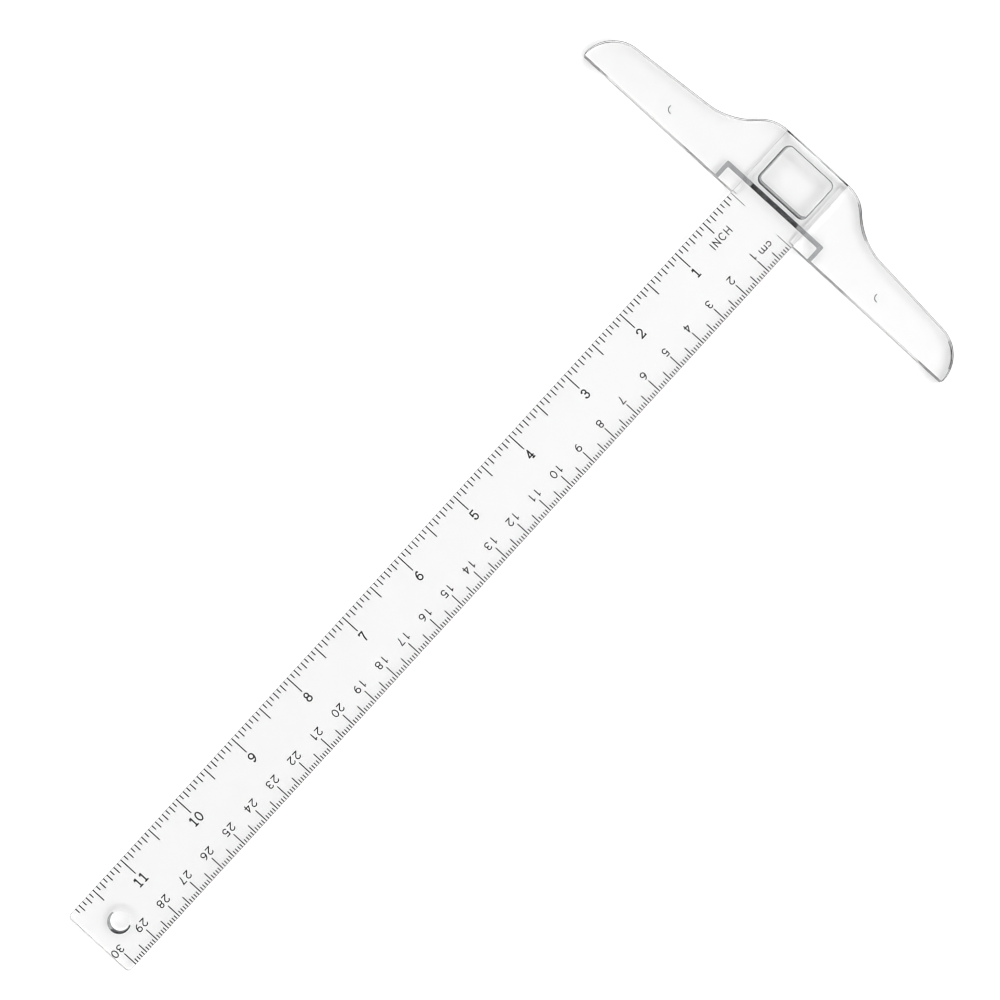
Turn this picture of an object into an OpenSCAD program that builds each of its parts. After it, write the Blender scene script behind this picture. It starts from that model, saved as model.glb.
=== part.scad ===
// Clear plastic T square for drafting: a moulded head with a ruled blade that plugs into it.
// The origin lies where the head's working edge crosses the blade's centreline, on the plane
// that the head rests on. +X runs along the blade away from the head, +Y towards the metric edge.

/* [Head] */
// Length of the head along its working edge
head_len = 150; // [130:1:180]
// Depth of the head from its working edge to its rear edge, at the middle
head_depth = 25.3; // [24.3:0.1:28]
// Thickness of the head
head_t = 4.4; // [4:0.1:6]
// Thickness of the floor that the blade lies on
floor_t = 1; // [0.8:0.1:1.4]
// Straight stretch of the rear edge behind the blade
rear_flat = 25.8; // [24.2:0.4:28.2]
// Radius of the rounded shoulders beside the straight stretch
shoulder_r = 12.2; // [11:0.2:13]
// Radius of the hollow curve between a shoulder and a wing
hollow_r = 22.8; // [21:0.2:24]
// Radius of the wing tips
tip_r = 11.9; // [11:0.1:12]

/* [Notch and pad] */
// Width of the notch round the blade, at the top face
notch_w = 40; // [36:0.2:44]
// Depth of the notch from the working edge, at the top face
notch_depth = 5.85; // [5:0.05:7]
// How far the notch's sloping walls lean in from the top face to the notch's floor
notch_lean = 1.3; // [0.6:0.1:1.4]
// Width of the raised pad along the head
pad_w = 19.6; // [14:0.2:21]
// Length of the raised pad along the blade
pad_l = 15.2; // [12:0.2:16]
// Height of the raised pad
pad_h = 1.5; // [0.4:0.1:1.6]
// Corner radius of the raised pad
pad_r = 2.2; // [1:0.1:4]

/* [Blade] */
// Width of the blade
blade_w = 25.4; // [24:0.2:27]
// Thickness of the blade
blade_t = 2; // [1.6:0.1:2.2]
// Distance from the working edge to the blade's free end
blade_reach = 304.4; // [302:0.2:310]
// Corner radius of the blade's free end
blade_corner_r = 1.5; // [0.5:0.1:3]
// Gap on each side of the blade in its slot
slot_gap = 0.1; // [0.05:0.05:0.2]

/* [Hanging hole] */
// Diameter of the hole's straight wall
hole_d = 6.2; // [4:0.1:7]
// Distance from the hole's centre to the blade's free end
hole_inset = 9.7; // [7:0.1:12]
// Width of the countersink round the hole
sink_w = 0.6; // [0.2:0.1:1]
// Depth of the countersink
sink_depth = 0.7; // [0.2:0.1:1]

/* [Printing] */
// Thickness of the printed ink
ink_t = 0.05; // [0.03:0.01:0.1]
// Distance from the working edge to the scales' zero lines
zero_gap = 0.8; // [0:0.1:1.5]
// Last whole millimetre on the metric scale
metric_length = 300; // [100:10:300]
// Number of sixteenths on the inch scale
inch_sixteenths = 189; // [64:1:189]
// Width of an inch line
inch_line_w = 0.38; // [0.2:0.02:0.4]
// Width of a millimetre line
metric_line_w = 0.36; // [0.2:0.02:0.4]
// Width of the two zero lines
zero_line_w = 0.2; // [0.15:0.01:0.3]
// Height of the inch numerals
inch_digit_h = 3.3; // [2.5:0.1:3.6]
// Height of the centimetre numerals
metric_digit_h = 2.7; // [2:0.1:3]

/* [Hidden] */
$fn = 64;

// A cut runs past the faces that it opens by this much.
past = 1;
clear_plastic = [0.9, 0.93, 0.95, 0.45];
ink = [0.06, 0.06, 0.07];

// Head outline: the wing leans inward by wing_slope, and a shoulder turns through shoulder_turn.
wing_slope = 4.6;
shoulder_turn = 46.2;
arc_steps = 16;
shoulder_centre = [-head_depth + shoulder_r, rear_flat / 2];
shoulder_end = on_circle(shoulder_centre, shoulder_r, 180 - shoulder_turn);
hollow_centre = on_circle(shoulder_end, hollow_r, 180 - shoulder_turn);
hollow_end = on_circle(hollow_centre, hollow_r, -wing_slope);
tip_y = head_len / 2 - tip_r;
tip_x = hollow_end.x + (tip_r + (tip_y - hollow_end.y) * sin(wing_slope)) / cos(wing_slope);

// Ledges under the blade's edges stop short of the working edge; between them the floor is open.
ledge_w = 1.5;
ledge_setback = 0.6;
slot_w = blade_w + 2 * slot_gap;
slot_top = floor_t + blade_t + 2 * slot_gap;
floor_opening_w = blade_w - 2 * ledge_w;

// Raised pad, behind the notch, with walls that lean in from its foot to its top.
pad_x = -14.7;
pad_lean = 0.7;

// Shallow ejector-pin marks under the wings.
ejector_x = -6.4;
ejector_y = 43.3;
ejector_r = 1.5;
ejector_depth = 0.15;

blade_z = floor_t + slot_gap;
ink_z = blade_z + blade_t;
hole_x = blade_reach - hole_inset;

// Scales: lengths of the lines from the blade's edges, and where the numerals stand.
inch = 25.4;
inch_line = [6.4, 4.85, 2.6, 2.6, 1.8];
zero_line = 6;
metric_line = [4.9, 3.4, 1.5];
inch_digit_base = -2.2;
inch_digit_step = 2.35;
inch_digit_stroke = 0.46;
// Inch numerals of two digits stand a little way along from their lines.
inch_pair_shift = 0.3;
metric_digit_base = 4.45;
metric_digit_step = 2.4;
metric_digit_stroke = 0.36;
metric_digit_wide = 1.12;
// The last metric numeral stands clear of the blade's corner.
last_digit_shift = 0.9;
label_stroke = 0.34;
inch_label_x = 12.3;
inch_label_base = -4.1;
inch_label_h = 2.65;
cm_label_base = 5.75;
cm_label_h = 1.8;

function on_circle(centre, r, angle) = centre + r * [cos(angle), sin(angle)];

// Points along an elliptic arc, turning from angle a to angle b.
function arc(cx, cy, rx, ry, a, b, steps = 10) =
    [for (i = [0:steps]) let (t = a + (b - a) * i / steps) [cx + rx * cos(t), cy + ry * sin(t)]];

function round_arc(centre, r, a, b) = arc(centre.x, centre.y, r, r, a, b, arc_steps);

// Half of the head's outline, from the rear edge round to the working edge.
function half_outline() = concat(
    round_arc(shoulder_centre, shoulder_r, 180, 180 - shoulder_turn),
    round_arc(hollow_centre, hollow_r, -shoulder_turn, -wing_slope),
    round_arc([tip_x, tip_y], tip_r, 180 - wing_slope, 90),
    [[0, head_len / 2]]
);

function flip_y(points) = [for (i = [len(points) - 1:-1:0]) [points[i].x, -points[i].y]];

// A solid of constant section: the points give X and Z, and it spans w along Y.
module bar_along_y(points, w) {
    translate([0, w / 2, 0])
        rotate([90, 0, 0])
            linear_extrude(w)
                polygon(points);
}

// A solid of constant section: the points give Y and Z, and it runs from x by l along X.
module bar_along_x(points, x, l) {
    translate([x, 0, 0])
        rotate([90, 0, 90])
            linear_extrude(l)
                polygon(points);
}

// A trapezium that is symmetric about its middle: w is its width at z0, and it changes by
// 2 * grow at z1.
function trapezium(w, grow, z0, z1) =
    [[-w / 2, z0], [w / 2, z0], [w / 2 + grow, z1], [-w / 2 - grow, z1]];

module notch() {
    top_z = head_t + past;
    rise = head_t - slot_top;
    lean = notch_lean * (rise + past) / rise;
    foot_x = -notch_depth + notch_lean;
    side_view = [[past, slot_top], [foot_x, slot_top], [foot_x - lean, top_z], [past, top_z]];
    front_view = trapezium(notch_w - 2 * notch_lean, lean, slot_top, top_z);
    intersection() {
        bar_along_y(side_view, 2 * notch_w);
        bar_along_x(front_view, -2 * notch_depth, 3 * notch_depth);
    }
}

module rounded_slab(l, w, r, h) {
    linear_extrude(h)
        union() {
            square([l - 2 * r, w], center = true);
            square([l, w - 2 * r], center = true);
            for (sx = [-1, 1], sy = [-1, 1])
                translate([sx * (l / 2 - r), sy * (w / 2 - r)])
                    circle(r);
        }
}

module pad() {
    top_z = head_t + pad_h;
    translate([pad_x, 0, 0])
        intersection() {
            rounded_slab(pad_l, pad_w, pad_r, top_z);
            bar_along_y(trapezium(pad_l, -pad_lean, head_t, top_z), 2 * pad_w);
            bar_along_x(trapezium(pad_w, -pad_lean, head_t, top_z), -pad_l, 2 * pad_l);
        }
}

module head() {
    color(clear_plastic) {
        difference() {
            linear_extrude(head_t)
                polygon(concat(half_outline(), flip_y(half_outline())));
            notch();
            translate([-head_depth - past, -slot_w / 2, floor_t])
                cube([head_depth + 2 * past, slot_w, slot_top - floor_t]);
            translate([-head_depth - past, -floor_opening_w / 2, -past])
                cube([head_depth + 2 * past, floor_opening_w, floor_t + 2 * past]);
            translate([-ledge_setback, -slot_w / 2, -past])
                cube([ledge_setback + past, slot_w, floor_t + 2 * past]);
            for (side = [-1, 1])
                translate([ejector_x, side * ejector_y, -past])
                    cylinder(h = past + ejector_depth, r = ejector_r);
        }
        pad();
    }
}

module blade() {
    corner_x = blade_reach - blade_corner_r;
    corner_y = blade_w / 2 - blade_corner_r;
    color(clear_plastic)
        difference() {
            translate([0, 0, blade_z])
                linear_extrude(blade_t)
                    union() {
                        translate([-head_depth, -blade_w / 2])
                            square([head_depth + corner_x, blade_w]);
                        translate([-head_depth, -corner_y])
                            square([head_depth + blade_reach, 2 * corner_y]);
                        for (side = [-1, 1])
                            translate([corner_x, side * corner_y])
                                circle(blade_corner_r);
                    }
            translate([hole_x, 0, blade_z - past])
                cylinder(h = blade_t + 2 * past, d = hole_d);
            translate([hole_x, 0, ink_z - sink_depth])
                cylinder(h = sink_depth, r1 = hole_d / 2, r2 = hole_d / 2 + sink_w);
        }
}

// One scale line across the blade, from the edge on the given side.
module scale_line(x, side, l, w) {
    translate([zero_gap + x - w / 2, side > 0 ? blade_w / 2 - l : -blade_w / 2])
        square([w, l]);
}

// Rank of a sixteenth: 0 for an inch, 1 for a half, down to 4 for a sixteenth.
function sixteenth_rank(i) = i % 16 == 0 ? 0 : i % 8 == 0 ? 1 : i % 4 == 0 ? 2 : i % 2 == 0 ? 3 : 4;

function millimetre_rank(i) = i % 10 == 0 ? 0 : i % 5 == 0 ? 1 : 2;

module printed() {
    color(ink)
        translate([0, 0, ink_z])
            linear_extrude(ink_t)
                children();
}

module inch_graduations() {
    printed() {
        scale_line(0, -1, zero_line, zero_line_w);
        for (i = [1:inch_sixteenths])
            scale_line(i * inch / 16, -1, inch_line[sixteenth_rank(i)], inch_line_w);
    }
}

module metric_graduations() {
    printed() {
        scale_line(0, 1, zero_line, zero_line_w);
        for (i = [1:metric_length])
            scale_line(i, 1, metric_line[millimetre_rank(i)], metric_line_w);
    }
}

function unit(v) = v / norm(v);

// A pen stroke of width w along the given points, running on by half its width at both ends.
module stroke(points, w) {
    last = len(points) - 1;
    along = [for (i = [0:last]) unit(points[min(i + 1, last)] - points[max(i - 1, 0)])];
    middle = [for (i = [0:last]) points[i] + along[i] * w / 2 * (i == 0 ? -1 : i == last ? 1 : 0)];
    side = [for (t = along) [-t.y, t.x] * w / 2];
    polygon(concat(
        [for (i = [0:last]) middle[i] + side[i]],
        [for (i = [last:-1:0]) middle[i] - side[i]]
    ));
}

// A closed loop of pen stroke: an ellipse with half axes rx and ry.
module loop(cx, cy, rx, ry, w) {
    steps = 28;
    difference() {
        polygon(arc(cx, cy, rx + w / 2, ry + w / 2, 0, 360 - 360 / steps, steps - 1));
        polygon(arc(cx, cy, rx - w / 2, ry - w / 2, 0, 360 - 360 / steps, steps - 1));
    }
}

// The curved stem of a six, whose bowl is a loop; a nine is the same turned over.
six_stem = arc(0.22, 0.33, 0.5, 0.67, 180, 103);

// Pen strokes of a digit in a box of height 1, centred on x = 0.
function digit_strokes(d) =
    d == 1 ? [[[0, 0], [0, 1]], [[-0.2, 0.86], [-0.05, 0.9]]] :
    d == 2 ? [concat(arc(0, 0.7, 0.28, 0.3, 160, -32), [[-0.27, 0.02]]), [[-0.27, 0], [0.27, 0]]] :
    d == 3 ? [arc(0, 0.755, 0.25, 0.245, 150, -90), arc(0, 0.27, 0.29, 0.27, 95, -150)] :
    d == 4 ? [[[0.11, 0.97], [-0.28, 0.31]], [[-0.28, 0.28], [0.28, 0.28]], [[0.13, 0], [0.13, 1]]] :
    d == 5 ? [[[-0.18, 1], [0.22, 1]], [[-0.2, 0.98], [-0.235, 0.52]],
              arc(-0.01, 0.31, 0.28, 0.31, 138, -148)] :
    d == 6 ? [six_stem] :
    d == 7 ? [[[-0.24, 1], [0.24, 1]], [[0.22, 0.96], [0.11, 0.66], [0.01, 0.36], [-0.03, 0.01]]] :
    d == 9 ? [[for (p = six_stem) [-p.x, 1 - p.y]]] :
    [];

// Closed loops of a digit: centre and half axes.
function digit_loops(d) =
    d == 0 ? [[0, 0.5, 0.3, 0.5]] :
    d == 6 ? [[0, 0.29, 0.28, 0.29]] :
    d == 8 ? [[0, 0.755, 0.235, 0.245], [0, 0.265, 0.285, 0.265]] :
    d == 9 ? [[0, 0.71, 0.28, 0.29]] :
    [];

// The short bars and the round terminals that turn a plain digit into a roman one.
function serif_strokes(d) =
    d == 1 ? [[[-0.18, 0], [0.18, 0]], [[-0.14, 0.97], [0, 1]]] :
    d == 2 ? [[[0.29, 0], [0.29, 0.1]]] :
    d == 4 ? [[[0, 0], [0.26, 0]]] :
    d == 5 ? [[[0.24, 1], [0.24, 1.03]]] :
    d == 7 ? [[[-0.25, 0.88], [-0.25, 1]]] :
    [];

function serif_dots(d) =
    d == 2 ? [[-0.25, 0.76]] :
    d == 3 ? [[-0.2, 0.85], [-0.23, 0.15]] :
    d == 5 ? [[-0.23, 0.17]] :
    d == 6 ? [[0.15, 0.93]] :
    d == 9 ? [[-0.15, 0.07]] :
    [];

// Strokes drawn at height h with a pen w wide, standing on y = 0 and widened by the factor wide.
module pen(strokes, h, w, wide = 1) {
    for (points = strokes)
        stroke([for (p = points) [p.x * wide * (h - w), w / 2 + p.y * (h - w)]], w);
}

module plain_digit(d, h, w, wide) {
    pen(digit_strokes(d), h, w, wide);
    for (e = digit_loops(d) * (h - w))
        loop(e[0], w / 2 + e[1], e[2] * wide, e[3], w);
}

module roman_digit(d, h, w) {
    plain_digit(d, h, w, 1);
    pen(serif_strokes(d), h, w);
    for (p = serif_dots(d) * (h - w))
        translate([p.x, w / 2 + p.y])
            circle(0.7 * w);
}

// The digits of a whole number of one or two digits, and where they stand about x = 0.
function places(n, step) = n < 10 ? [[n, 0]] : [[floor(n / 10), -step / 2], [n % 10, step / 2]];

module inch_numerals() {
    printed()
        for (n = [1:floor(inch_sixteenths / 16)])
            for (place = places(n, inch_digit_step))
                translate([zero_gap + n * inch, inch_digit_base])
                    rotate(180)
                        translate([place[1] - (n > 9 ? inch_pair_shift : 0), 0])
                            roman_digit(place[0], inch_digit_h, inch_digit_stroke);
}

module metric_numerals() {
    last = metric_length / 10;
    printed()
        for (n = [1:last])
            for (place = places(n, metric_digit_step))
                translate([zero_gap + 10 * n + place[1], metric_digit_base])
                    translate([n == last ? last_digit_shift : 0, 0])
                        plain_digit(place[0], metric_digit_h, metric_digit_stroke, metric_digit_wide);
}

// Letter strokes in a box of height 1: the capitals of INCH and the small letters of cm.
letter_i = [[[0, 0], [0, 1]]];
letter_n = [[[-0.32, 0], [-0.32, 1]], [[-0.3, 0.94], [0.3, 0.06]], [[0.32, 0], [0.32, 1]]];
letter_c = [arc(0.02, 0.5, 0.4, 0.5, 46, 314, 20)];
letter_h = [[[-0.32, 0], [-0.32, 1]], [[-0.32, 0.5], [0.32, 0.5]], [[0.32, 0], [0.32, 1]]];
letter_m = [
    [[-0.8, 0], [-0.8, 1]],
    concat(arc(-0.4, 0.6, 0.4, 0.4, 150, 0), [[0, 0]]),
    concat(arc(0.4, 0.6, 0.4, 0.4, 150, 0), [[0.8, 0]])
];

module unit_labels() {
    inch_letters = [letter_i, letter_n, letter_c, letter_h];
    inch_letter_x = [-3.9, -2.05, 0.55, 3.1];
    cm_letters = [letter_c, letter_m];
    cm_letter_x = [3.7, 6.2];
    cm_letter_wide = [1.2, 1];
    printed() {
        for (i = [0:3])
            translate([zero_gap + inch_label_x, inch_label_base])
                rotate(180)
                    translate([inch_letter_x[i], 0])
                        pen(inch_letters[i], inch_label_h, label_stroke);
        for (i = [0:1])
            translate([zero_gap + cm_letter_x[i], cm_label_base])
                pen(cm_letters[i], cm_label_h, label_stroke, cm_letter_wide[i]);
    }
}

head();
blade();
inch_graduations();
metric_graduations();
inch_numerals();
metric_numerals();
unit_labels();
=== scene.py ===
import math

import bmesh
import bpy
from bpy.props import FloatProperty, FloatVectorProperty, PointerProperty
from bpy.types import Operator, Panel, PropertyGroup
from mathutils import Matrix, Vector


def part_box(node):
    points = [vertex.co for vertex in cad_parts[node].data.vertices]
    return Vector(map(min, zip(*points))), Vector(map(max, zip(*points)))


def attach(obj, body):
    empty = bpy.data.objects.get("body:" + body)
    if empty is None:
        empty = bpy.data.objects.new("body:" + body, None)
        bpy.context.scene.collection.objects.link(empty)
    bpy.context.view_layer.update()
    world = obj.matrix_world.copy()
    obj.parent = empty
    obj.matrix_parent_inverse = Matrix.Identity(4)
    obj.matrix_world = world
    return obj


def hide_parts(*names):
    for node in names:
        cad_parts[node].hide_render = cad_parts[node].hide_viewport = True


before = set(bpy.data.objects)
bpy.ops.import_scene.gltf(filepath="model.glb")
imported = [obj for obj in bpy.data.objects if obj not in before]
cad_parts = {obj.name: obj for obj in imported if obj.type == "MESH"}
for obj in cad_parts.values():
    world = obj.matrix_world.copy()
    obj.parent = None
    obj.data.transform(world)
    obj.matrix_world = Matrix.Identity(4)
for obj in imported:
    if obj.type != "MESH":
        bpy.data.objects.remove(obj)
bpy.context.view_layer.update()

bl_info = {
    "name": "Clear T Square",
    "version": (1, 0, 0),
    "blender": (4, 5, 0),
    "location": "View3D > Sidebar > T Square",
    "description": "Builds the mouldings, printing and studio of a clear plastic T square",
    "category": "Mesh",
}

MM = 0.001
HEAD_LOW, HEAD_HIGH = (Vector(corner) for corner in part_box("head"))
BLADE_LOW, BLADE_HIGH = (Vector(corner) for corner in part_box("blade"))
PAST = 1 * MM  # how far a cutter runs past the face that it opens
NEAR = 0.3 * MM  # how far outside its nominal place a face of a feature may lie
LEVEL = 0.9995  # a face whose normal is this close to vertical is flat
STEEP = 0.3  # a share of the normal above which a face clearly leans that way
RIPPLE = 0.004 * MM  # height of the flow ripples in a moulded face
# Painted shade: walls and rims that face this way get the darker painted tints.
PAINTED_SHADE_SIDE = Vector((-0.68, 0.73, 0))  # direction in which the darker sides of the features face
PRINTED_NODES = (
    "inch_graduations",
    "metric_graduations",
    "inch_numerals",
    "metric_numerals",
    "unit_labels",
)


def srgb(code):
    """Linear RGB of an sRGB hex code such as F4F6F7."""
    levels = [int(code[i : i + 2], 16) / 255 for i in (0, 2, 4)]
    return tuple(v / 12.92 if v <= 0.04045 else ((v + 0.055) / 1.055) ** 2.4 for v in levels)


def length(name, description, millimetres):
    return FloatProperty(
        name=name, description=description, default=millimetres * MM, min=0, unit="LENGTH", precision=5
    )


def colour(name, description, code):
    return FloatVectorProperty(
        name=name, description=description, default=srgb(code), min=0, max=1, subtype="COLOR"
    )


class TSquareHeadSizes(PropertyGroup):
    """Sizes of the head moulding that its outer box doesn't give."""

    thickness: length("Thickness", "Thickness of the wings, without the pad", 4.4)
    floor_thickness: length("Floor", "Thickness of the floor that the blade lies on", 1.0)
    rear_flat: length("Rear flat", "Straight stretch of the rear edge behind the blade", 25.8)
    shoulder_radius: length("Shoulder radius", "Radius of the shoulders beside the flat", 12.2)
    hollow_radius: length("Hollow radius", "Radius of the hollow curve of each wing", 22.8)
    tip_radius: length("Tip radius", "Radius of the wing tips", 11.9)
    notch_width: length("Notch width", "Width of the notch at the top face", 40.0)
    notch_depth: length("Notch depth", "Depth of the notch at the top face", 5.85)
    notch_lean: length("Notch lean", "How far the notch walls lean in from top to floor", 1.3)
    pad_width: length("Pad width", "Width of the raised pad along the head", 19.6)
    pad_length: length("Pad length", "Length of the raised pad along the blade", 15.2)
    pad_setback: length("Pad setback", "Distance from the working edge to the pad's middle", 14.7)
    pad_lean: length("Pad lean", "How far the pad's walls lean in from foot to top", 0.7)
    pad_corner: length("Pad corner", "Corner radius of the pad", 2.2)
    ledge: length("Ledge", "Width of the ledge under each edge of the blade", 1.5)
    ledge_setback: length("Ledge setback", "How far the ledges stop short of the working edge", 0.6)
    slot_gap: length("Slot gap", "Gap on each side of the blade in its slot", 0.1)
    ejector_radius: length("Ejector radius", "Radius of the ejector-pin marks", 1.5)
    ejector_depth: length("Ejector depth", "Depth of the ejector-pin marks", 0.15)
    ejector_span: length("Ejector span", "Distance of each mark from the blade's centreline", 43.3)
    ejector_setback: length("Ejector setback", "Distance of the marks from the working edge", 6.4)
    edge_round: length("Edge round", "Radius of the moulded outer edges", 0.28)


class TSquareBladeSizes(PropertyGroup):
    """Sizes of the blade that its outer box doesn't give."""

    corner_radius: length("Corner radius", "Corner radius of the free end", 1.5)
    hole_diameter: length("Hole diameter", "Diameter of the hanging hole's wall", 6.2)
    hole_inset: length("Hole inset", "Distance from the hole's centre to the free end", 9.7)
    sink_width: length("Countersink width", "Width of the countersink round the hole", 0.6)
    sink_depth: length("Countersink depth", "Depth of the countersink", 0.7)
    edge_round: length("Edge round", "Radius of the blade's edges", 0.16)


class TSquareColours(PropertyGroup):
    """Colours of the plastic, the ink and the studio."""

    clear: colour("Clear", "Clear acrylic, seen through a polished face", "F1F1F1")
    # Edge, shade and dark are painted shade: darker tints of the same clear plastic, laid faintly on rounded
    # edges and strongly on steep walls to draw them as dark lines.
    edge: colour("Edge", "The same plastic, seen through a rounded edge", "EFEFEF")
    shade: colour("Shade", "The same plastic, seen through a wall that traps light", "6E7072")
    dark: colour("Dark", "The same plastic, where a wall turns nearly all light away", "131415")
    ink: colour("Ink", "Black screen-printing ink where it is dense", "060606")
    thin_ink: colour("Thin ink", "The same ink where it is thin", "1E1F1F")
    floor: colour("Floor", "Matt white studio floor", "F5F5F5")


# ---------------------------------------------------------------- outlines


def arc(centre, radius, start, end, steps):
    """Points along a circle from angle start to angle end, in degrees."""
    points = []
    for i in range(steps + 1):
        angle = math.radians(start + (end - start) * i / steps)
        points.append(Vector((centre[0] + radius * math.cos(angle), centre[1] + radius * math.sin(angle))))
    return points


def head_outline(sizes):
    """The head seen from above, anticlockwise: a flat rear, two S-shaped wings and a straight front."""
    wing_slope, shoulder_turn = 4.6, 46.2
    depth, half_length = -HEAD_LOW.x, HEAD_HIGH.y
    shoulder = Vector((sizes.shoulder_radius - depth, sizes.rear_flat / 2))
    towards = Vector((-math.cos(math.radians(shoulder_turn)), math.sin(math.radians(shoulder_turn))))
    hollow = shoulder + towards * (sizes.shoulder_radius + sizes.hollow_radius)
    lean = math.radians(wing_slope)
    wing_start = hollow + sizes.hollow_radius * Vector((math.cos(lean), -math.sin(lean)))
    tip_y = half_length - sizes.tip_radius
    tip_x = wing_start.x + (sizes.tip_radius + (tip_y - wing_start.y) * math.sin(lean)) / math.cos(lean)
    wing = arc(shoulder, sizes.shoulder_radius, 180, 180 - shoulder_turn, 12)
    wing += arc(hollow, sizes.hollow_radius, -shoulder_turn, -wing_slope, 24)
    wing += arc((tip_x, tip_y), sizes.tip_radius, 180 - wing_slope, 90, 32)
    corner_round = 0.3 * MM
    wing += arc((-corner_round, half_length - corner_round), corner_round, 90, 0, 6)
    other = [Vector((p.x, -p.y)) for p in reversed(wing)]
    loop = list(reversed(wing + other))
    return [p for i, p in enumerate(loop) if (p - loop[i - 1]).length > 0.01 * MM]


def rounded_rectangle(low, high, radii, steps=10):
    """Anticlockwise from the low corner, with one radius for each corner."""
    corners = [(low[0], low[1]), (high[0], low[1]), (high[0], high[1]), (low[0], high[1])]
    points = []
    for turn, ((x, y), radius) in enumerate(zip(corners, radii)):
        if radius == 0:
            points.append(Vector((x, y)))
            continue
        centre = (x + radius if x == low[0] else x - radius, y + radius if y == low[1] else y - radius)
        points += arc(centre, radius, 180 + 90 * turn, 270 + 90 * turn, steps)
    return points


def inset(outline, distance):
    """The outline moved inward by distance; a negative distance moves it outward."""
    moved = []
    for i, point in enumerate(outline):
        before = (point - outline[i - 1]).normalized()
        after = (outline[(i + 1) % len(outline)] - point).normalized()
        across = Vector((-before.y - after.y, before.x + after.x)).normalized()
        stretch = max(0.3, across.dot(Vector((-before.y, before.x))))
        moved.append(point + across * distance / stretch)
    return moved


def quarter_round(radius, steps=4):
    """(inset, rise) pairs of a rounded lower edge, from the underside to the side wall."""
    turns = [math.pi / 2 * i / steps for i in range(steps + 1)]
    return [(radius * (1 - math.sin(t)), radius * (1 - math.cos(t))) for t in turns]


def rounded_profile(low, high, radius):
    """(inset, height) pairs of a plate with both its edges rounded."""
    lower = [(across, low + rise) for across, rise in quarter_round(radius)]
    upper = [(across, high - rise) for across, rise in reversed(quarter_round(radius))]
    return lower + upper


# ---------------------------------------------------------------- mesh work


def mesh_object(name, shape):
    """A new object in the scene that holds the bmesh shape."""
    bmesh.ops.recalc_face_normals(shape, faces=shape.faces)
    mesh = bpy.data.meshes.new(name)
    shape.to_mesh(mesh)
    shape.free()
    piece = bpy.data.objects.new(name, mesh)
    bpy.context.scene.collection.objects.link(piece)
    return piece


def stacked_rings(name, rings):
    """A closed solid whose skin runs through rings of points, with both ends capped."""
    shape = bmesh.new()
    loops = [[shape.verts.new(p) for p in ring] for ring in rings]
    for below, above in zip(loops, loops[1:]):
        for i in range(len(below)):
            j = (i + 1) % len(below)
            shape.faces.new((below[i], below[j], above[j], above[i]))
    shape.faces.new(list(reversed(loops[0])))
    shape.faces.new(loops[-1])
    return mesh_object(name, shape)


def plate(name, outline, profile):
    """A plate of the given outline, whose edge follows (inset, height) pairs upward."""
    return stacked_rings(name, [[(*p, z) for p in inset(outline, d)] for d, z in profile])


def turned(name, centre, profile, steps=72):
    """A round solid about a vertical axis, from (radius, height) pairs upward."""
    rings = []
    for radius, z in profile:
        circle = [math.tau * i / steps for i in range(steps)]
        ring = [(centre[0] + radius * math.cos(t), centre[1] + radius * math.sin(t), z) for t in circle]
        rings.append(ring)
    return stacked_rings(name, rings)


def block(name, low, high):
    """A square-edged block, used only as a cutter."""
    outline = rounded_rectangle(low, high, (0, 0, 0, 0))
    return plate(name, outline, [(0, low[2]), (0, high[2])])


def combine(piece, tool, operation):
    """Cuts or joins tool into piece, and deletes tool."""
    modifier = piece.modifiers.new("combine", "BOOLEAN")
    modifier.operation = operation
    modifier.solver = "EXACT"
    modifier.object = tool
    bpy.context.view_layer.update()
    evaluated = piece.evaluated_get(bpy.context.evaluated_depsgraph_get())
    result = bpy.data.meshes.new_from_object(evaluated)
    piece.modifiers.clear()
    old = piece.data
    piece.data = result
    result.name = piece.name
    bpy.data.meshes.remove(old)
    bpy.data.objects.remove(tool)


def soften_edges(piece, width, sharper_than=35.0, segments=2):
    """Rounds every edge that turns by more than sharper_than degrees."""
    shape = bmesh.new()
    shape.from_mesh(piece.data)
    bmesh.ops.remove_doubles(shape, verts=shape.verts, dist=0.002 * MM)
    flat = math.radians(0.2)
    bmesh.ops.dissolve_limit(shape, angle_limit=flat, verts=shape.verts, edges=shape.edges)
    limit = math.radians(sharper_than)
    sharp = [e for e in shape.edges if e.is_manifold and e.calc_face_angle(0) > limit]
    bmesh.ops.bevel(
        shape, geom=sharp, offset=width, segments=segments, profile=0.5, affect="EDGES", clamp_overlap=True
    )
    bmesh.ops.dissolve_degenerate(shape, dist=0.001 * MM, edges=shape.edges)
    shape.to_mesh(piece.data)
    shape.free()


def score(piece, across, chosen):
    """Cuts the faces that chosen(centre, normal) picks at the given y positions, so they can differ."""
    shape = bmesh.new()
    shape.from_mesh(piece.data)
    for y in across:
        picked = [f for f in shape.faces if chosen(f.calc_center_median(), f.normal)]
        geometry = picked + list({e for f in picked for e in f.edges} | {v for f in picked for v in f.verts})
        bmesh.ops.bisect_plane(shape, geom=geometry, plane_co=(0, y, 0), plane_no=(0, 1, 0))
    shape.to_mesh(piece.data)
    shape.free()


def finish_skin(piece, materials, choose):
    """Gives each face the material that choose(face centre, normal) numbers, and smooth shading."""
    for material in materials:
        piece.data.materials.append(material)
    for face in piece.data.polygons:
        face.material_index = choose(face.center, face.normal)
        face.use_smooth = True
    weighted = piece.modifiers.new("even_normals", "WEIGHTED_NORMAL")
    weighted.mode = "FACE_AREA"
    weighted.weight = 100
    weighted.keep_sharp = True


# ---------------------------------------------------------------- materials


def add_node(tree, kind, settings=None, links=None):
    """Adds a node, sets its attributes and inputs by name, and links outputs into its inputs."""
    node = tree.nodes.new(kind)
    for key, value in (settings or {}).items():
        if hasattr(node, key):
            setattr(node, key, value)
        else:
            node.inputs[key].default_value = value
    for key, output in (links or {}).items():
        tree.links.new(output, node.inputs[key])
    return node


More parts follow.
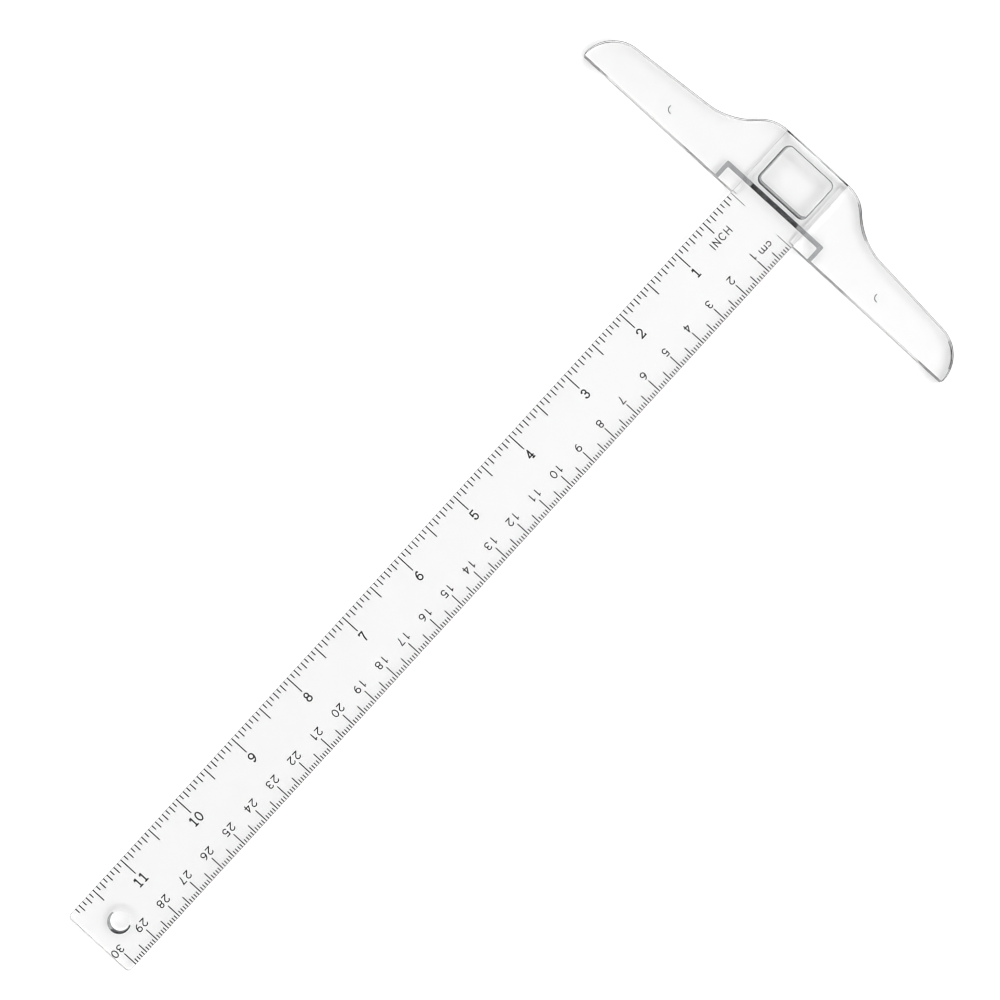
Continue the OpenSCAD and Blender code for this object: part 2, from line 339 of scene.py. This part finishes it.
def new_material(name):
    """An empty material and its node tree, with the output node in place."""
    material = bpy.data.materials.new(name)
    material.use_nodes = True
    tree = material.node_tree
    tree.nodes.clear()
    output = add_node(tree, "ShaderNodeOutputMaterial")
    return material, tree, output


def moulded_acrylic(name, tint, ripple, mirror=1.0):
    """Clear acrylic from a polished mould: glass-like, with faint flow ripples.

    A mirror of 0 turns head-on reflection off, which real acrylic can't do. It keeps the bridge,
    where up to six skins lie over each other, as bright as the rest.
    """
    material, tree, output = new_material(name)
    place = add_node(tree, "ShaderNodeTexCoord").outputs["Object"]
    # Melt cools in soft waves a few centimetres apart; one metre over 28 mm gives their scale.
    waves = add_node(tree, "ShaderNodeTexNoise", {"Scale": 1 / 0.028, "Detail": 2.0}, {"Vector": place})
    ripples = add_node(
        tree,
        "ShaderNodeBump",
        {"Strength": 1.0, "Distance": ripple},
        {"Height": waves.outputs["Fac"]},
    )
    plastic = add_node(
        tree,
        "ShaderNodeBsdfPrincipled",
        {
            "Base Color": (*tint, 1),
            "Roughness": 0.02,
            "IOR": 1.49,
            "Transmission Weight": 1.0,
            "Specular Tint": (mirror, mirror, mirror, 1),
        },
        {"Normal": ripples.outputs["Normal"]},
    )
    tree.links.new(plastic.outputs["BSDF"], output.inputs["Surface"])
    return material


def printing_ink(dense, thin):
    """Black screen-printing ink: satin, and paler where the squeegee left it thin."""
    material, tree, output = new_material("screen_print_ink")
    place = add_node(tree, "ShaderNodeTexCoord").outputs["Object"]
    # The film's thickness drifts over about 40 mm, with a fine tooth of 0.5 mm from the mesh.
    drift = add_node(tree, "ShaderNodeTexNoise", {"Scale": 1 / 0.04, "Detail": 1.0}, {"Vector": place})
    tooth = add_node(tree, "ShaderNodeTexNoise", {"Scale": 1 / 0.0005, "Detail": 0.0}, {"Vector": place})
    film = add_node(
        tree,
        "ShaderNodeMix",
        {"data_type": "FLOAT", "Factor": 0.25},
        {"A": drift.outputs["Fac"], "B": tooth.outputs["Fac"]},
    )
    ramp = add_node(tree, "ShaderNodeValToRGB", None, {"Fac": film.outputs[0]})
    ramp.color_ramp.elements[0].position = 0.42
    ramp.color_ramp.elements[0].color = (*dense, 1)
    ramp.color_ramp.elements[1].position = 0.62
    ramp.color_ramp.elements[1].color = (*thin, 1)
    ink = add_node(
        tree, "ShaderNodeBsdfPrincipled", {"Roughness": 0.42}, {"Base Color": ramp.outputs["Color"]}
    )
    tree.links.new(ink.outputs["BSDF"], output.inputs["Surface"])
    return material


def matt_floor(tint):
    """Matt white paper floor: it scatters light evenly and shows no gloss."""
    material, tree, output = new_material("matt_white_paper")
    paper = add_node(tree, "ShaderNodeBsdfDiffuse", {"Color": (*tint, 1)})
    tree.links.new(paper.outputs["BSDF"], output.inputs["Surface"])
    return material


# ---------------------------------------------------------------- the pieces


class TSQUARE_OT_head(Operator):
    """Build the clear head moulding with its wings, notch, slot and raised pad"""

    bl_idname = "tsquare.head"
    bl_label = "Head Moulding"

    def execute(self, context):
        sizes = context.scene.tsquare_head
        outline = head_outline(sizes)
        head = plate("head_moulding", outline, rounded_profile(0, sizes.thickness, sizes.edge_round))
        self.cut_notch(head, sizes)
        self.cut_slot(head, sizes)
        self.add_pad(head, sizes)
        self.mark_ejectors(head, sizes)
        soften_edges(head, 0.1 * MM)
        self.skin(head, sizes, context.scene.tsquare_colours)
        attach(head, "head")
        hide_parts("head")
        return {"FINISHED"}

    def cut_notch(self, head, sizes):
        """Sinks the notch round the blade, level with the slot's roof, with walls that lean in."""
        top, foot = sizes.thickness + PAST, BLADE_HIGH.z + sizes.slot_gap
        lean = sizes.notch_lean * (top - foot) / (sizes.thickness - foot)
        half = sizes.notch_width / 2 - sizes.notch_lean
        back = sizes.notch_lean - sizes.notch_depth
        rings = []
        for grow, z in ((0, foot), (lean, top)):
            outline = rounded_rectangle(
                (back - grow, -half - grow), (4 * PAST, half + grow), (0.5 * MM, 0, 0, 0.5 * MM), 4
            )
            rings.append([(*p, z) for p in outline])
        combine(head, stacked_rings("notch_cutter", rings), "DIFFERENCE")

    def cut_slot(self, head, sizes):
        """Opens the blade's slot under the bridge, and the floor between and before its ledges."""
        half_slot = BLADE_HIGH.y + sizes.slot_gap
        half_floor = BLADE_HIGH.y - sizes.ledge
        rear, below = HEAD_LOW.x - PAST, sizes.floor_thickness + PAST / 2
        roof = BLADE_HIGH.z + sizes.slot_gap
        slot = block("slot_cutter", (rear, -half_slot, sizes.floor_thickness), (PAST, half_slot, roof))
        combine(head, slot, "DIFFERENCE")
        window = block("floor_cutter", (rear, -half_floor, -PAST), (PAST, half_floor, below))
        combine(head, window, "DIFFERENCE")
        mouth = block("mouth_cutter", (-sizes.ledge_setback, -half_slot, -PAST), (PAST, half_slot, below))
        combine(head, mouth, "DIFFERENCE")

    def add_pad(self, head, sizes):
        """Raises the rounded-rectangle pad on the bridge, with a small fillet round its foot."""
        half = Vector((sizes.pad_length / 2, sizes.pad_width / 2))
        middle = Vector((-sizes.pad_setback, 0))
        outline = rounded_rectangle(middle - half, middle + half, [sizes.pad_corner] * 4, 12)
        foot, top = sizes.thickness, HEAD_HIGH.z
        fillet, round_over = 0.12 * MM, 0.12 * MM
        profile = [
            (-fillet, foot - 0.3 * MM),
            (-fillet, foot + 0.01 * MM),
            (-fillet * 0.3, foot + fillet * 0.4),
            (fillet * 0.7, foot + fillet * 1.3),
            (sizes.pad_lean * 0.4, foot + (top - foot) * 0.4),
            (sizes.pad_lean - round_over * 0.7, top - round_over * 1.3),
            (sizes.pad_lean + round_over * 0.1, top - round_over * 0.4),
            (sizes.pad_lean + round_over, top),
        ]
        combine(head, plate("pad", outline, profile), "UNION")

    def mark_ejectors(self, head, sizes):
        """Sinks the two shallow round marks that the ejector pins leave under the wings."""
        taper = 0.3 * MM
        for side in (-1, 1):
            pin = turned(
                "ejector_pin",
                (-sizes.ejector_setback, side * sizes.ejector_span),
                [
                    (sizes.ejector_radius, -PAST),
                    (sizes.ejector_radius, 0),
                    (sizes.ejector_radius - taper, sizes.ejector_depth),
                ],
                48,
            )
            combine(head, pin, "DIFFERENCE")

    def skin(self, head, sizes, colours):
        """Gives each face its plastic. Walls that look dark from above have a darker tint, as drawn
        shading does, and more so on one side; the light itself doesn't make that difference."""
        # The edge, shade and dark plastics are painted shade: darker tints for the rounded edges and steep
        # walls.
        plastics = [
            moulded_acrylic("acrylic_head_face", tuple(colours.clear), RIPPLE),
            moulded_acrylic("acrylic_head_edge_faint_painted_shade", tuple(colours.edge), 0),
            moulded_acrylic("acrylic_head_painted_shade", tuple(colours.shade), 0),
            moulded_acrylic("acrylic_head_painted_dark_shade", tuple(colours.dark), 0),
            moulded_acrylic("acrylic_head_window", (1, 1, 1), RIPPLE, 0.0),
        ]
        face, edge, shade, dark, clear = range(5)
        roof = BLADE_HIGH.z + sizes.slot_gap
        half_slot = BLADE_HIGH.y + sizes.slot_gap
        half_notch = sizes.notch_width / 2
        half_pad = sizes.pad_width / 2
        level_roof = roof - 0.05 * MM
        pad_foot = sizes.thickness + 0.4 * (HEAD_HIGH.z - sizes.thickness)
        front_strip = 1.2 * MM

        def on_pad(at):
            return abs(at.x + sizes.pad_setback) < sizes.pad_length / 2 + NEAR and abs(at.y) < half_pad + NEAR

        def pad_wall(at, normal):
            # Painted shade on the pad: a darker foot all round, deepest except on the +y side, and shaded
            # upper walls on the -y and +x sides.
            if at.z < pad_foot:
                return shade if normal.y > 0.45 else dark
            return shade if normal.y < -0.45 or normal.x > STEEP else face

        def notch_wall(at, normal):
            # Painted shade on the notch walls: deep painted shade on the back wall's middle in front of the
            # pad, lighter painted shade on the rest, faint at the front.
            if at.x > -NEAR:
                return edge
            return dark if abs(at.y) < half_pad - NEAR and normal.x > STEEP else shade

        def outer_edge(at, normal):
            # Painted shade on the outer edges: faint on the front edge and on the walls, stronger on the top
            # rounding, and one step darker still where the edge faces one chosen side.
            if at.x > -NEAR:
                return edge
            on_painted_shade_side = normal.xy.normalized().dot(PAINTED_SHADE_SIDE.xy) > 0.93 and at.x < -front_strip
            if normal.z < STEEP:
                return shade if on_painted_shade_side else edge
            return dark if on_painted_shade_side else shade

        def in_ejector_mark(at):
            to_mark = at.xy - Vector((-sizes.ejector_setback, math.copysign(sizes.ejector_span, at.y)))
            return at.z < 0.2 * MM and to_mark.length < sizes.ejector_radius + NEAR

        def choose(at, normal):
            # Painted shade on one side of each ejector mark's wall.
            if in_ejector_mark(at) and abs(normal.z) < LEVEL:
                return shade if normal.dot(PAINTED_SHADE_SIDE) > 0.2 else face
            if abs(normal.z) > LEVEL:
                return clear if abs(at.y) < half_slot else face
            if at.z > sizes.thickness - 0.02 * MM and on_pad(at):
                return pad_wall(at, normal)
            if at.z < roof + 0.05 * MM and abs(at.y) < half_slot + NEAR and abs(normal.x) < 0.9:
                return clear
            if at.z > level_roof and at.x > -sizes.notch_depth - NEAR and abs(at.y) < half_notch + NEAR:
                return notch_wall(at, normal)
            if at.z < roof and abs(at.y) < half_notch - sizes.notch_lean:
                return clear
            return outer_edge(at, normal)

        def back_wall(at, normal):
            return at.z > roof and normal.x > STEEP and 0 < at.x + sizes.notch_depth < 2 * MM

        # Cuts the notch's back wall at the pad's sides, where its deep painted shade stops.
        score(head, (half_pad - NEAR, NEAR - half_pad), back_wall)
        score(head, (half_slot, -half_slot), lambda at, normal: abs(normal.z) > LEVEL)
        finish_skin(head, plastics, choose)


class TSQUARE_OT_blade(Operator):
    """Build the clear ruled blade with its rounded corners and countersunk hanging hole"""

    bl_idname = "tsquare.blade"
    bl_label = "Blade"

    def execute(self, context):
        sizes = context.scene.tsquare_blade
        colours = context.scene.tsquare_colours
        corner = sizes.corner_radius
        outline = rounded_rectangle(BLADE_LOW.xy, BLADE_HIGH.xy, (0, corner, corner, 0))
        blade = plate("blade_strip", outline, rounded_profile(BLADE_LOW.z, BLADE_HIGH.z, sizes.edge_round))
        self.drill_hole(blade, sizes)
        # The edge, shade and dark plastics are painted shade: darker tints for the hole's wall and the
        # blade's top long edges.
        plastics = [
            moulded_acrylic("acrylic_blade_face", tuple(colours.clear), RIPPLE),
            moulded_acrylic("acrylic_blade_edge_faint_painted_shade", tuple(colours.edge), 0),
            moulded_acrylic("acrylic_blade_painted_shade", tuple(colours.shade), 0),
            moulded_acrylic("acrylic_blade_painted_dark_shade", tuple(colours.dark), 0),
        ]
        face, edge, shade, dark = range(4)
        hole = Vector((BLADE_HIGH.x - sizes.hole_inset, 0))
        reach = sizes.hole_diameter / 2 + sizes.sink_width + NEAR
        # Painted shade in the hole: deep painted shade on one side of its wall and countersink, lighter
        # painted shade on one flank, faint painted shade on the rest.
        dark_side = Vector((0.59, 0.81))

        def choose(at, normal):
            if abs(normal.z) > 0.995:
                return face
            if (at.xy - hole).length < reach:
                inward = normal.xy.normalized()
                if inward.dot(dark_side) < -0.5:
                    return dark
                return shade if inward.dot(dark_side.orthogonal()) > 0.4 else edge
            # Painted shade on the top rounding of the long edges: deep on the -y edge, lighter on the +y
            # edge.
            if normal.y < -STEEP and normal.z > STEEP:
                return dark
            return shade if normal.y > STEEP and normal.z > STEEP else face

        finish_skin(blade, plastics, choose)
        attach(blade, "blade")
        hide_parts("blade")
        return {"FINISHED"}

    def drill_hole(self, blade, sizes):
        """Drills the hole, breaks its lower rim and sinks its upper one."""
        radius = sizes.hole_diameter / 2
        wide = radius + sizes.sink_width
        low, high = BLADE_LOW.z, BLADE_HIGH.z
        rim = 0.12 * MM
        profile = [
            (radius + rim, low - PAST),
            (radius + rim, low),
            (radius + rim * 0.3, low + rim * 0.3),
            (radius, low + rim),
            (radius, high - sizes.sink_depth),
            (wide - rim, high - rim),
            (wide - rim * 0.2, high - rim * 0.3),
            (wide + rim * 0.4, high),
            (wide + rim * 0.4, high + PAST),
        ]
        drill = turned("hole_drill", (BLADE_HIGH.x - sizes.hole_inset, 0), profile)
        combine(blade, drill, "DIFFERENCE")


class TSQUARE_OT_printing(Operator):
    """Ink the scale lines, the numerals and the unit labels on the blade"""

    bl_idname = "tsquare.printing"
    bl_label = "Printed Scales"

    def execute(self, context):
        colours = context.scene.tsquare_colours
        ink = printing_ink(tuple(colours.ink), tuple(colours.thin_ink))
        for name in PRINTED_NODES:
            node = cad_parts[name]
            node.data.materials.clear()
            node.data.materials.append(ink)
            # Rays that have passed through the blade miss the ink, so it doesn't shade the floor.
            node.visible_transmission = False
        return {"FINISHED"}


class TSQUARE_OT_stage(Operator):
    """Set the white floor, the soft studio light and the camera above the T square"""

    bl_idname = "tsquare.stage"
    bl_label = "Studio"

    def execute(self, context):
        self.lay_floor(context)
        self.light(context)
        self.place_camera(context)
        return {"FINISHED"}

    def lay_floor(self, context):
        half = 20.0
        shape = bmesh.new()
        corners = [(-half, -half), (half, -half), (half, half), (-half, half)]
        shape.faces.new([shape.verts.new((x, y, -0.02 * MM)) for x, y in corners])
        floor = mesh_object("studio_floor", shape)
        floor.data.materials.append(matt_floor(tuple(context.scene.tsquare_colours.floor)))

    def light(self, context):
        """A white dome, dark overhead and dim lower down, with a broad soft light on one side."""
        world = bpy.data.worlds.new("studio_dome")
        context.scene.world = world
        world.use_nodes = True
        tree = world.node_tree
        tree.nodes.clear()
        output = add_node(tree, "ShaderNodeOutputWorld")
        direction = add_node(tree, "ShaderNodeTexCoord").outputs["Generated"]
        height = add_node(tree, "ShaderNodeSeparateXYZ", None, {"Vector": direction})
        levels = [(0.0, 0.5), (0.12, 0.4), (0.3, 0.1), (0.55, 1.0), (0.93, 1.0), (0.96, 0.0)]
        dome = self.ramp(tree, height.outputs["Z"], levels)
        towards_light = add_node(
            tree, "ShaderNodeVectorMath", {"operation": "DOT_PRODUCT"}, {0: direction}
        )
        towards_light.inputs[1].default_value = (-0.27, 0.75, 0.6)
        soft_light = self.ramp(tree, towards_light.outputs["Value"], [(0.54, 0.0), (0.78, 0.6)])
        total = add_node(
            tree,
            "ShaderNodeMix",
            {"data_type": "RGBA", "blend_type": "ADD", "Factor": 1.0},
            {6: dome, 7: soft_light},
        )
        lit = add_node(tree, "ShaderNodeBackground", {"Strength": 1.5}, {"Color": total.outputs[2]})
        seen = add_node(tree, "ShaderNodeBackground", {"Color": (1, 1, 1, 1), "Strength": 1.0})
        path = add_node(tree, "ShaderNodeLightPath")
        mixed = add_node(tree, "ShaderNodeMixShader", None, {"Fac": path.outputs["Is Camera Ray"]})
        tree.links.new(lit.outputs[0], mixed.inputs[1])
        tree.links.new(seen.outputs[0], mixed.inputs[2])
        tree.links.new(mixed.outputs[0], output.inputs["Surface"])
        scene = context.scene
        scene.view_settings.view_transform = "Standard"
        scene.view_settings.look = "None"
        scene.cycles.max_bounces = 24
        scene.cycles.transmission_bounces = 24
        scene.cycles.glossy_bounces = 8
        scene.cycles.diffuse_bounces = 4
        scene.cycles.caustics_refractive = True
        scene.cycles.caustics_reflective = True
        scene.cycles.blur_glossy = 0
        scene.cycles.pixel_filter_type = "BLACKMAN_HARRIS"
        scene.cycles.filter_width = 1.05
        scene.cycles.use_denoising = True

    def ramp(self, tree, source, stops):
        """A colour ramp in grey, given as (position, level) pairs."""
        node = add_node(tree, "ShaderNodeValToRGB", None, {"Fac": source})
        elements = node.color_ramp.elements
        elements.remove(elements[1])
        elements[0].position = stops[0][0]
        elements[0].color = (*[stops[0][1]] * 3, 1)
        for position, level in stops[1:]:
            elements.new(position).color = (level, level, level, 1)
        return node.outputs["Color"]

    def place_camera(self, context):
        """Straight above, turned so that the blade runs from upper right to lower left."""
        above, seen_width, sensor = 580 * MM, 309.1 * MM, 36.0
        turn = math.radians(42.45)
        right = Vector((-math.sin(turn), math.cos(turn), 0))
        up = Vector((-math.cos(turn), -math.sin(turn), 0))
        spot = Vector((119.0 * MM, -1.15 * MM, BLADE_HIGH.z + above))
        camera = bpy.data.cameras.new("studio_camera")
        camera.sensor_width = sensor
        camera.lens = sensor * above / seen_width
        camera.clip_start = 0.01
        stand = bpy.data.objects.new("studio_camera", camera)
        turned_to = Matrix((right, up, right.cross(up))).transposed().to_4x4()
        stand.matrix_world = Matrix.Translation(spot) @ turned_to
        context.scene.collection.objects.link(stand)
        context.scene.camera = stand


class TSQUARE_PT_panel(Panel):
    """Lists the steps that build the T square"""

    bl_idname = "TSQUARE_PT_panel"
    bl_label = "Clear T Square"
    bl_space_type = "VIEW_3D"
    bl_region_type = "UI"
    bl_category = "T Square"

    def draw(self, context):
        for step in STEPS:
            self.layout.operator(step.bl_idname)
        for group in ("tsquare_head", "tsquare_blade", "tsquare_colours"):
            box = self.layout.box()
            settings = getattr(context.scene, group)
            for key in settings.__annotations__:
                box.prop(settings, key)


STEPS = (TSQUARE_OT_head, TSQUARE_OT_blade, TSQUARE_OT_printing, TSQUARE_OT_stage)
GROUPS = {
    "tsquare_head": TSquareHeadSizes,
    "tsquare_blade": TSquareBladeSizes,
    "tsquare_colours": TSquareColours,
}
CLASSES = (*GROUPS.values(), *STEPS, TSQUARE_PT_panel)


def register():
    for entry in CLASSES:
        bpy.utils.register_class(entry)
    for name, group in GROUPS.items():
        setattr(bpy.types.Scene, name, PointerProperty(type=group))


def unregister():
    for name in GROUPS:
        delattr(bpy.types.Scene, name)
    for entry in reversed(CLASSES):
        bpy.utils.unregister_class(entry)


def main():
    register()
    bpy.ops.tsquare.head()
    bpy.ops.tsquare.blade()
    bpy.ops.tsquare.printing()
    bpy.ops.tsquare.stage()


if __name__ == "__main__":
    main()
